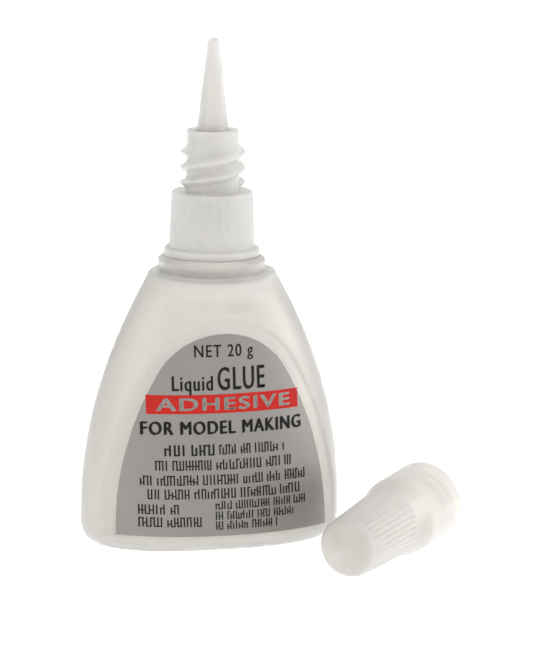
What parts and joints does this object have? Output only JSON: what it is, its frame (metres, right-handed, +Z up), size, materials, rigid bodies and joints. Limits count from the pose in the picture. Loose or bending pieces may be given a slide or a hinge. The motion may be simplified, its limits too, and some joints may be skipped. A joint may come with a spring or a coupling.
{
  "type": "glue applicator bottle",
  "caption": "Oval bell-shaped squeeze bottle for liquid glue, with a push-on nozzle unit, long tapered spout and a loose ribbed screw cap.",
  "frame": {"origin": "centre of the bottle's base, on the neck's axis", "axes": "+Z up along the neck, -Y the way the label faces, +X to the right of someone who reads the label"},
  "size_m": [0.0643, 0.0517, 0.0894],
  "materials": {
    "bottle_plastic": "satin translucent polyethylene",
    "nozzle_plastic": "satin translucent polyethylene",
    "cap_plastic": "satin translucent polyethylene",
    "glue": "clear liquid",
    "label_film": "satin silver film"
  },
  "bodies": {
    "bottle": {"bottle_body": "bottle_plastic", "glue_fill": "glue", "front_label": "label_film"},
    "nozzle_unit": {"nozzle_collar": "nozzle_plastic", "spout": "nozzle_plastic"},
    "cap_core": {"cap_plug": "cap_plastic"},
    "cap": {"cap_shell": "cap_plastic"}
  },
  "joints": [
    {"name": "nozzle_lift", "type": "slide", "parent": "bottle", "child": "nozzle_unit", "axis": [0, 0, 1], "range_m": [0, 0.044]},
    {"name": "cap_swing", "type": "hinge", "parent": "bottle", "child": "cap_core", "pos_m": [0.05491, 0.01602, 0.06773], "axis": [-0.4438, 0.853, -0.2747], "range_deg": [0, 99.96]},
    {"name": "cap_turn", "type": "hinge", "parent": "cap_core", "child": "cap", "pos_m": [0.036, -0.0131, 0.00786], "axis": [-0.6972, -0.7119, -0.0845], "range_deg": [0, 540]}
  ]
}
